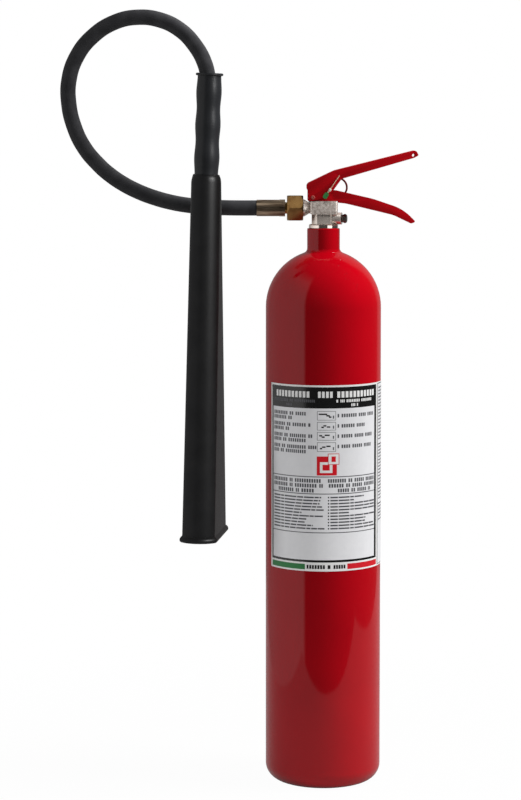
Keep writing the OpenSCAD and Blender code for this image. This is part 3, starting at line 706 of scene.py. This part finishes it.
@dataclass
class Valve:
    """The valve in the neck, with its stem, spring, seals and burst disc."""

    edge_mm: float = 0.6
    plug_edge_mm: float = 0.3
    collar_top: float = 681.0 * MM
    waist_top: float = 692.6 * MM
    coil_edge_mm: float = 0.02
    coil_foot: float = 662.6 * MM
    stem_travel: float = 5.6 * MM

    def coil(self) -> bpy.types.Object:
        """Copy the spring with rounded edges, dress it and give it a mesh of its own.

        Returns:
            The spring.
        """
        coil = rounded_copy("poppet_spring", "body", self.coil_edge_mm)
        dress(coil, STEEL)
        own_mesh(coil)
        return coil

    def build(self) -> list[bpy.types.Object]:
        """Round the forging and the plug, and dress the works inside."""
        forging = rounded_copy("valve_body", "body", self.edge_mm)
        dress(forging, NICKEL)
        forging.data.materials.append(MILLED_NICKEL.material())
        forging.data.materials.append(TURNED_NICKEL.material())
        with editing(forging) as mesh:
            for face in mesh.faces:
                height = face.calc_center_median().z
                face.material_index = int(height < self.waist_top) + int(height < self.collar_top)
            bmesh.update_edit_mesh(forging.data)
        plug = rounded_copy("burst_disc_plug", "body", self.plug_edge_mm)
        dress(plug, DARK_STEEL)
        for node, finish in (
            ("dip_tube", ALUMINIUM), ("dip_tube_retainer", FITTING),
            ("poppet", FITTING), ("poppet_seal", SEAL_PLASTIC), ("stem", STEEL),
            ("stem_o_ring", SEAL_RUBBER), ("stem_gland", FITTING), ("burst_disc", STEEL),
            ("burst_disc_washer", SEAL_PLASTIC),
        ):
            dress(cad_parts[node], finish)
        return [forging, plug, self.coil()]


@dataclass
class Levers:
    """The squeeze lever over its carrying handle, with the pivot, the pull pin and its seal."""

    edge_mm: float = 0.7
    crimp_at: Point = (7.2 * MM, -14.1 * MM, 722.2 * MM)
    crimp_lean: float = 34.8
    crimp_r: float = 1.6 * MM
    crimp_l: float = 3.6 * MM
    crimp_edge: float = 0.5 * MM

    def crimp(self) -> bpy.types.Object:
        """Press a small white sleeve round the wire above its seal.

        Returns:
            The sleeve.
        """
        bpy.ops.object.select_all(action="DESELECT")
        bpy.ops.mesh.primitive_cylinder_add(vertices=24, radius=self.crimp_r, depth=self.crimp_l)
        sleeve = bpy.context.active_object
        sleeve.name = sleeve.data.name = "seal_crimp"
        with editing(sleeve):
            bpy.ops.mesh.select_all(action="SELECT")
            bpy.ops.mesh.bevel(offset=self.crimp_edge, segments=3, affect="EDGES")
        place = Matrix.Translation(self.crimp_at)
        sleeve.data.transform(place @ Matrix.Rotation(math.radians(self.crimp_lean), 4, "Y"))
        shade(sleeve)
        dress(sleeve, SEAL_PLASTIC)
        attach(sleeve, "lever")
        return sleeve

    def build(self) -> list[bpy.types.Object]:
        """Round the pressed channels and dress the pins and the seal."""
        lever = rounded_copy("operating_lever", "lever", self.edge_mm)
        handle = rounded_copy("carry_handle", "body", self.edge_mm)
        for piece in (lever, handle):
            dress(piece, LEVER_ENAMEL)
        for node, finish in (
            ("handle_rivet", LEVER_ENAMEL), ("pivot_pin", RIVET_ENAMEL), ("safety_pin", PIN_ENAMEL),
            ("seal_wire", SEAL_WIRE), ("tamper_seal", SEAL_GREEN),
        ):
            dress(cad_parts[node], finish)
        return [lever, handle, self.crimp()]


@dataclass
class Hose:
    """The discharge hose with its union, ferrules and grip."""

    exit: Point = (-81 * MM, 0.0, 700.1 * MM)
    length: float = 0.668
    diameter: float = 18.6 * MM
    nut_edge_mm: float = 0.5
    route_mm: tuple[Point, ...] = (
        (25.9, 0, 0), (0, 0, 0), (-20, 0, 0), (-40, 0, 0.3), (-60, 0, 1), (-81, 0, 3),
        (-102, 0, 6.5), (-125, -0.5, 12.8), (-145, -1, 20.6), (-163, -2, 30.1), (-178, -3, 40.5),
        (-190.8, -4.2, 52), (-208.3, -6.4, 73.2), (-220, -9, 98), (-226.2, -11.5, 126),
        (-225.6, -14.3, 154.4), (-215.6, -17.6, 182.6), (-196.4, -20.8, 206.2), (-170, -23.8, 222.8),
        (-143.4, -26.3, 228.6), (-115, -28.5, 225.2), (-91, -30.1, 213.1), (-73.7, -31.3, 195),
        (-62.2, -31.8, 174), (-57.9, -32, 155), (-57, -32, 136), (-57.78, -32, 116.05),
        (-59.25, -32, 74.08),
    )

    def build(self) -> list[bpy.types.Object]:
        points = [Vector(self.exit) + Vector(p) * MM for p in self.route_mm]
        bpy.ops.object.select_all(action="DESELECT")
        bpy.ops.curve.primitive_bezier_curve_add()
        tube = bpy.context.active_object
        tube.name = tube.data.name = "discharge_hose"
        spline = tube.data.splines[0]
        spline.bezier_points.add(len(points) - len(spline.bezier_points))
        for knot, point in zip(spline.bezier_points, points):
            knot.handle_left_type = knot.handle_right_type = "AUTO"
            knot.co = point
        tube.data.bevel_depth = self.diameter / 2
        tube.data.bevel_resolution = 8
        tube.data.resolution_u = tube.data.render_resolution_u = 8
        tube.data.use_fill_caps = True
        # The enamel mirrors no hose, as in the photograph.
        tube.visible_glossy = False
        dress(tube, HOSE_RUBBER)
        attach(tube, "body")
        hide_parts("hose")
        nut = rounded_copy("union_nut", "body", self.nut_edge_mm)
        dress(nut, BRASS)
        for node, finish in (
            ("hose_tail", FITTING), ("valve_ferrule", FERRULE), ("horn_ferrule", FERRULE),
            ("discharge_nozzle", FITTING), ("grip_sleeve", GRIP_RUBBER),
        ):
            dress(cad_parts[node], finish)
        return [tube, nut]


@dataclass
class Horn:
    """The discharge horn: a round neck that spreads to a flat-sided mouth with a rolled lip."""

    joint: Point = (-141.4 * MM, -32 * MM, 741.1 * MM)
    tilt: float = 0.4
    seat_tilt: float = 2.0
    yaw: float = 7.4
    length_mm: float = 437
    half_width_mm: float = 19.75
    half_depth_mm: float = 58
    end_r_mm: float = 23.7
    corner_mm: float = 3.5
    wall_mm: float = 2.5
    neck_mm: tuple[Pair, ...] = ((3.6, 17.0), (6.0, 17.6), (9.0, 18.0))
    bore_mm: float = 8
    seat_mm: tuple[Pair, ...] = ((8, -0.2), (15.25, -0.2), (15.85, 0.3))
    lip_mm: tuple[Pair, ...] = (
        (7.2, 0.0), (7.0, 0.6), (6.0, 1.8), (4.8, 2.6), (3.5, 3.0), (2.2, 3.0), (1.0, 2.5), (0.2, 1.5)
    )
    rim_mm: float = 1.4
    rim_edge_mm: float = 0.6
    throat_mm: float = 2
    crease: float = 40
    levels: int = 16
    arc_steps: int = 12

    def directions(self) -> list[float]:
        """Return the outward angles, in radians, at which every ring has its points."""
        corner = math.acos((self.half_width_mm - self.corner_mm) / (self.end_r_mm - self.corner_mm))
        quarter = [corner * i / self.arc_steps for i in range(self.arc_steps)]
        quarter += [
            corner + (math.pi / 2 - corner) * i / self.arc_steps for i in range(self.arc_steps + 1)
        ]
        half = quarter + [math.pi - a for a in reversed(quarter[:-1])]
        return half + [a + math.pi for a in half]

    def mouth(self, turn: float, margin: float) -> tuple[float, float]:
        """Find the mouth's outline point that faces a direction.

        Args:
            turn: The direction, in radians.
            margin: How far the outline is grown, in mm.

        Returns:
            The point, in mm.
        """
        x_sign = 1 if math.cos(turn) > 0 else -1
        y_sign = 1 if (turn % (2 * math.pi)) <= math.pi and turn < math.pi + 1e-9 else -1
        out_x, out_y = abs(math.cos(turn)), abs(math.sin(turn))
        half_w = self.half_width_mm - self.corner_mm
        end_r = self.end_r_mm - self.corner_mm
        end_y = self.half_depth_mm - self.end_r_mm
        x = min(end_r * out_x, half_w)
        y = end_y + math.sqrt(end_r**2 - x**2)
        reach = self.corner_mm + margin
        return x_sign * (x + reach * out_x), y_sign * (y + reach * out_y)

    def ring(self, down_mm: float, share: float, neck_r: float, margin: float) -> list[Vector]:
        """Set one ring of points between the round neck and the mouth.

        Args:
            down_mm: Depth below the grip.
            share: 0 for the neck's circle, 1 for the mouth's outline.
            neck_r: The circle's radius in mm.
            margin: How far the outline is grown, in mm.

        Returns:
            The ring in the frame.
        """
        place = (
            Matrix.Translation(self.joint)
            @ Matrix.Rotation(math.radians(self.tilt), 4, "Y")
            @ Matrix.Rotation(math.radians(-self.yaw), 4, "Z")
        )
        ring = []
        for turn in self.directions():
            x, y = self.mouth(turn, margin)
            round_x, round_y = (neck_r + margin) * math.cos(turn), (neck_r + margin) * math.sin(turn)
            x, y = round_x + (x - round_x) * share, round_y + (y - round_y) * share
            ring.append(place @ Vector((x * MM, y * MM, -down_mm * MM)))
        return ring

    def seat(self, r_mm: float, down_mm: float) -> list[Vector]:
        """Set one round ring square to the grip.

        Args:
            r_mm: The ring's radius.
            down_mm: Depth below the grip.

        Returns:
            The ring in the frame.
        """
        place = Matrix.Translation(self.joint) @ Matrix.Rotation(math.radians(self.seat_tilt), 4, "Y")
        turns = [turn - math.radians(self.yaw) for turn in self.directions()]
        spots = [(r_mm * math.cos(turn), r_mm * math.sin(turn), -down_mm) for turn in turns]
        return [place @ (Vector(spot) * MM) for spot in spots]

    def build(self) -> list[bpy.types.Object]:
        """Draw the shell from the seat down the outside, over the lip and back up the inside."""
        neck_end, neck_r = self.neck_mm[-1]
        run = self.length_mm - neck_end
        lip_top = self.lip_mm[0][0]
        rings = [self.seat(r, down) for r, down in self.seat_mm]
        rings += [self.ring(down, 0, r, 0) for down, r in self.neck_mm]
        spots = [neck_end + (run - lip_top) * i / self.levels for i in range(1, self.levels)]
        rings += [self.ring(d, (d - neck_end) / run, neck_r, 0) for d in spots]
        for up, margin in self.lip_mm:
            down = self.length_mm - up
            rings.append(self.ring(down, (down - neck_end) / run, neck_r, margin))
        rings.append(self.ring(self.length_mm, 1, neck_r, self.rim_mm - self.wall_mm))
        rings.append(self.ring(self.length_mm - self.rim_edge_mm, 1, neck_r, -self.wall_mm))
        rings += [self.ring(d, (d - neck_end) / run, neck_r, -self.wall_mm) for d in reversed(spots)]
        rings.append(self.ring(neck_end + self.throat_mm, 0, neck_r, -self.wall_mm))
        rings.append(self.seat(self.bore_mm, neck_end))
        rings.append(rings[0])
        piece = loft("discharge_horn", rings)
        # The enamel mirrors no horn, as in the photograph.
        piece.visible_glossy = False
        shade(piece, self.crease)
        dress(piece, HORN_PLASTIC)
        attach(piece, "body")
        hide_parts("horn")
        return [piece]


VALVE_OUTSIDE = ("valve_body_rounded", "burst_disc_plug_rounded")
UNION_OUTSIDE = ("union_nut_rounded", "valve_ferrule", "valve_body_rounded")


@dataclass(frozen=True)
class Lamp:
    """A soft box.

    It hangs at a bearing round to the right of the camera and at a rise above
    the level, both in degrees, at a distance in metres from the studio's aim.
    Its sides are in metres and its power in watts. A mirrored lamp shows in
    gloss, and one that isn't matt lights nothing else. It may light only some
    pieces, or spare some, and an unshaded one is blocked by no other piece.
    """

    name: str
    bearing: float
    rise: float
    distance: float
    width: float
    height: float
    power: float
    mirrored: bool = False
    only: tuple[str, ...] = ()
    spares: tuple[str, ...] = ()
    unshaded: bool = False
    matt: bool = True


@dataclass
class Studio:
    """The camera, the soft light and the pale table top.

    Lengths are in metres and angles in degrees. A level is a share of white.
    """

    stand: Point = (-0.0764, -2.963, 0.7919)
    pitch: float = 3.8
    lens: float = 110
    sensor: float = 36
    axis_row: float = 294.4
    fill: float = 0.18
    floor_corners: tuple[Pair, ...] = ((-0.58, -0.64), (1.0, -0.49), (1.0, 1.3), (-0.62, 1.3))
    floor_corner_r: float = 0.03
    floor_clears: Pair = (0.3, 0.81)
    floor_shadow: float = 0.025
    floor_tone: str = "#C4C4C4"
    floor_mirrored: float = 0.58
    # Between these distances from the axis the table's mirrored white fades in: a painted shade under
    # the foot.
    painted_foot_shade: Pair = (0.05, 0.075)
    flag: Point = (0.749, -0.663, 0.0)
    flag_edge: float = 0.044
    flag_soft: float = 0.05
    flag_level: float = 0.05
    window: Point = (-0.766, -0.643, 0.0)
    window_edge: float = 0.06
    window_level: float = 1.04
    room_level: float = 0.34
    window_top: Pair = (0.75, 0.92)
    aim: Point = (0.0, 0.0, 0.5)
    rig: tuple[Lamp, ...] = (
        Lamp("key", 81, 43, 2.2, 0.9, 1.3, 92, spares=("label", "discharge_horn")),
        Lamp("front", -8, 20, 3.0, 1.2, 1.2, 13, spares=("label", "valve_body_rounded")),
        Lamp("side", -95, 25, 2.2, 0.8, 1.0, 12, only=("cylinder_rounded",), unshaded=True),
        Lamp("spark", 136, 62, 2.0, 0.5, 0.5, 9, True),
        Lamp("label_left", -58, 10, 2.2, 0.8, 1.3, 18.5, only=("label",)),
        Lamp("label_right", 72, 10, 2.2, 0.8, 1.3, 44, only=("label",)),
        Lamp("streak", 50, 25, 2.0, 0.7, 0.5, 27, True, only=("grip_sleeve",)),
        Lamp("sheen", 49, 32, 2.0, 1.1, 0.4, 165, True, only=("discharge_horn",), matt=False),
        Lamp("glint", 50, 5, 2.0, 1.4, 0.8, 5.5, True, only=VALVE_OUTSIDE),
        Lamp("hood", -5, 62, 2.0, 0.8, 0.5, 38, only=VALVE_OUTSIDE),
        Lamp("top", 0, 60, 2.0, 1.4, 0.7, 3.5, True, only=UNION_OUTSIDE),
    )

    def camera(self) -> None:
        """Stand the camera where the photograph was taken from."""
        bpy.ops.object.camera_add(
            location=self.stand, rotation=(math.radians(90 - self.pitch), 0, 0)
        )
        view = bpy.context.active_object
        view.data.sensor_fit = "VERTICAL"
        view.data.sensor_height = view.data.sensor_width = self.sensor
        view.data.lens = self.lens
        view.data.shift_y = (self.axis_row - IMAGE_HEIGHT / 2) / IMAGE_HEIGHT
        bpy.context.scene.camera = view

    def world(self) -> None:
        """Make a white room with a dark side by the camera, which only glossy surfaces see."""
        world = bpy.data.worlds.new("studio")
        bpy.context.scene.world = world
        world.use_nodes = True
        world.cycles.sampling_method = "NONE"
        tree = world.node_tree
        rays = put(tree, "ShaderNodeLightPath").outputs
        way = put(tree, "ShaderNodeTexCoord").outputs["Generated"]
        facing = put(tree, "ShaderNodeVectorMath", {1: self.flag}, {0: way}, operation="DOT_PRODUCT")
        flagged = put(
            tree,
            "ShaderNodeMapRange",
            {"From Min": self.flag_edge - self.flag_soft, "From Max": self.flag_edge + self.flag_soft},
            {"Value": facing.outputs["Value"]},
        )
        toward = put(tree, "ShaderNodeVectorMath", {1: self.window}, {0: way}, operation="DOT_PRODUCT")
        bright = put(
            tree,
            "ShaderNodeMapRange",
            {"From Min": self.window_edge, "To Min": self.room_level, "To Max": self.window_level},
            {"Value": toward.outputs["Value"]},
        )
        mirrored = put(
            tree, "ShaderNodeMix", {3: self.flag_level}, {0: flagged.outputs[0], 2: bright.outputs[0]}
        )
        height = put(tree, "ShaderNodeSeparateXYZ", links={0: way})
        low, high = self.window_top
        top = {"From Min": low, "From Max": high}
        above = put(tree, "ShaderNodeMapRange", top, {"Value": height.outputs["Z"]})
        around = put(
            tree, "ShaderNodeMix", {3: self.flag_level}, {0: above.outputs[0], 2: mirrored.outputs[0]}
        )
        shiny = put(
            tree,
            "ShaderNodeMath",
            links={0: rays["Is Glossy Ray"], 1: rays["Is Transmission Ray"]},
            operation="MAXIMUM",
        )
        level = put(
            tree, "ShaderNodeMix", {2: self.fill}, {0: shiny.outputs[0], 3: around.outputs[0]}
        )
        seen = put(tree, "ShaderNodeMix", {3: 1.0}, {0: rays["Is Camera Ray"], 2: level.outputs[0]})
        back = tree.nodes["Background"]
        back.inputs["Color"].default_value = (1, 1, 1, 1)
        tree.links.new(seen.outputs[0], back.inputs["Strength"])

    def lamps(self) -> None:
        """Hang the lamps and link each to the pieces that it lights."""
        for lamp in self.rig:
            bearing, rise = math.radians(lamp.bearing), math.radians(lamp.rise)
            way = Vector(
                (
                    math.sin(bearing) * math.cos(rise),
                    -math.cos(bearing) * math.cos(rise),
                    math.sin(rise),
                )
            )
            spot = Vector(self.aim) + way * lamp.distance
            bpy.ops.object.light_add(
                type="AREA", location=spot, rotation=way.to_track_quat("Z", "Y").to_euler()
            )
            light = bpy.context.active_object
            light.name = lamp.name
            light.data.shape = "RECTANGLE"
            light.data.size, light.data.size_y = lamp.width, lamp.height
            light.data.energy = lamp.power
            light.visible_glossy = lamp.mirrored
            light.visible_diffuse = lamp.matt
            if lamp.only or lamp.spares:
                light.light_linking.receiver_collection = self.takers(lamp)
            if lamp.unshaded:
                light.light_linking.blocker_collection = light.light_linking.receiver_collection

    def takers(self, lamp: Lamp) -> bpy.types.Collection:
        """Collect the pieces that a lamp lights alone, or that it leaves out.

        Args:
            lamp: A lamp that names such pieces.

        Returns:
            The collection for the lamp's light linking.
        """
        group = bpy.data.collections.new(f"{lamp.name}_takers")
        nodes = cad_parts
        for name in lamp.only + lamp.spares:
            group.objects.link(nodes[name] if name in nodes else bpy.data.objects[name])
        for link in group.collection_objects:
            link.light_linking.link_state = "INCLUDE" if lamp.only else "EXCLUDE"
        return group

    def floor(self) -> None:
        """Lay the table top that the cylinder stands on and mirrors."""
        bpy.ops.object.select_all(action="DESELECT")
        bpy.ops.mesh.primitive_circle_add(vertices=len(self.floor_corners), fill_type="NGON")
        floor = bpy.context.active_object
        floor.name = "floor"
        with editing(floor) as mesh:
            for vertex, (x, y) in zip(mesh.verts, self.floor_corners):
                vertex.co = (x, y, 0)
            bmesh.update_edit_mesh(floor.data)
            bpy.ops.mesh.select_all(action="SELECT")
            bpy.ops.mesh.bevel(offset=self.floor_corner_r, segments=4, affect="VERTICES")
            bpy.ops.mesh.normals_make_consistent(inside=False)
        floor.data.materials.append(self.table_paint())

    def table_paint(self) -> bpy.types.Material:
        """Mix the table top's white, which keeps a faint shadow and has a painted shade under the foot
        in the white it mirrors.

        Returns:
            The material.
        """
        paint = bpy.data.materials.new("matt_white_table_paint")
        paint.use_nodes = True
        tree = paint.node_tree
        rays = put(tree, "ShaderNodeLightPath").outputs
        shiny = put(
            tree,
            "ShaderNodeMath",
            links={0: rays["Is Glossy Ray"], 1: rays["Is Transmission Ray"]},
            operation="MAXIMUM",
        )
        seen = put(
            tree,
            "ShaderNodeMath",
            links={0: rays["Is Camera Ray"], 1: shiny.outputs[0]},
            operation="MAXIMUM",
        )
        spot = put(tree, "ShaderNodeTexCoord").outputs["Object"]
        reach = put(tree, "ShaderNodeVectorMath", links={0: spot}, operation="LENGTH")
        near, far = self.floor_clears
        clear = put(
            tree,
            "ShaderNodeMapRange",
            {"From Min": near, "From Max": far, "To Min": 1 - self.floor_shadow, "To Max": 1.0},
            {"Value": reach.outputs["Value"]},
        )
        share = put(
            tree,
            "ShaderNodeMath",
            links={0: seen.outputs[0], 1: clear.outputs[0]},
            operation="MULTIPLY",
        )
        # The mirrored white drops near the axis: painted shade under the foot, seen by glossy rays only.
        near, far = self.painted_foot_shade
        mirrored = put(
            tree,
            "ShaderNodeMapRange",
            {"From Min": near, "From Max": far, "To Max": self.floor_mirrored},
            {"Value": reach.outputs["Value"]},
        )
        white = put(
            tree, "ShaderNodeMix", {3: 1.0}, {0: rays["Is Camera Ray"], 2: mirrored.outputs[0]}
        )
        glow = put(
            tree, "ShaderNodeEmission", {"Color": (1, 1, 1, 1)}, {"Strength": white.outputs[0]}
        )
        matt = put(tree, "ShaderNodeBsdfDiffuse", {"Color": linear(self.floor_tone)})
        mix = put(
            tree,
            "ShaderNodeMixShader",
            links={0: share.outputs[0], 1: matt.outputs[0], 2: glow.outputs[0]},
        )
        tree.links.new(mix.outputs[0], tree.nodes["Material Output"].inputs["Surface"])
        return paint

    def build(self) -> None:
        """Set up the whole studio."""
        self.camera()
        self.world()
        self.lamps()
        self.floor()
        bpy.context.scene.view_settings.view_transform = "Standard"


def main() -> None:
    """Build every sub-assembly in order."""
    logging.basicConfig(level=logging.INFO, format="%(name)s: %(message)s")
    for part in (Hose(), Horn(), Vessel(Label()), Valve(), Levers()):
        for piece in part.build():
            LOG.info("%s made %s", type(part).__name__, piece.name)
    Studio().build()


if __name__ == "__main__":
    main()
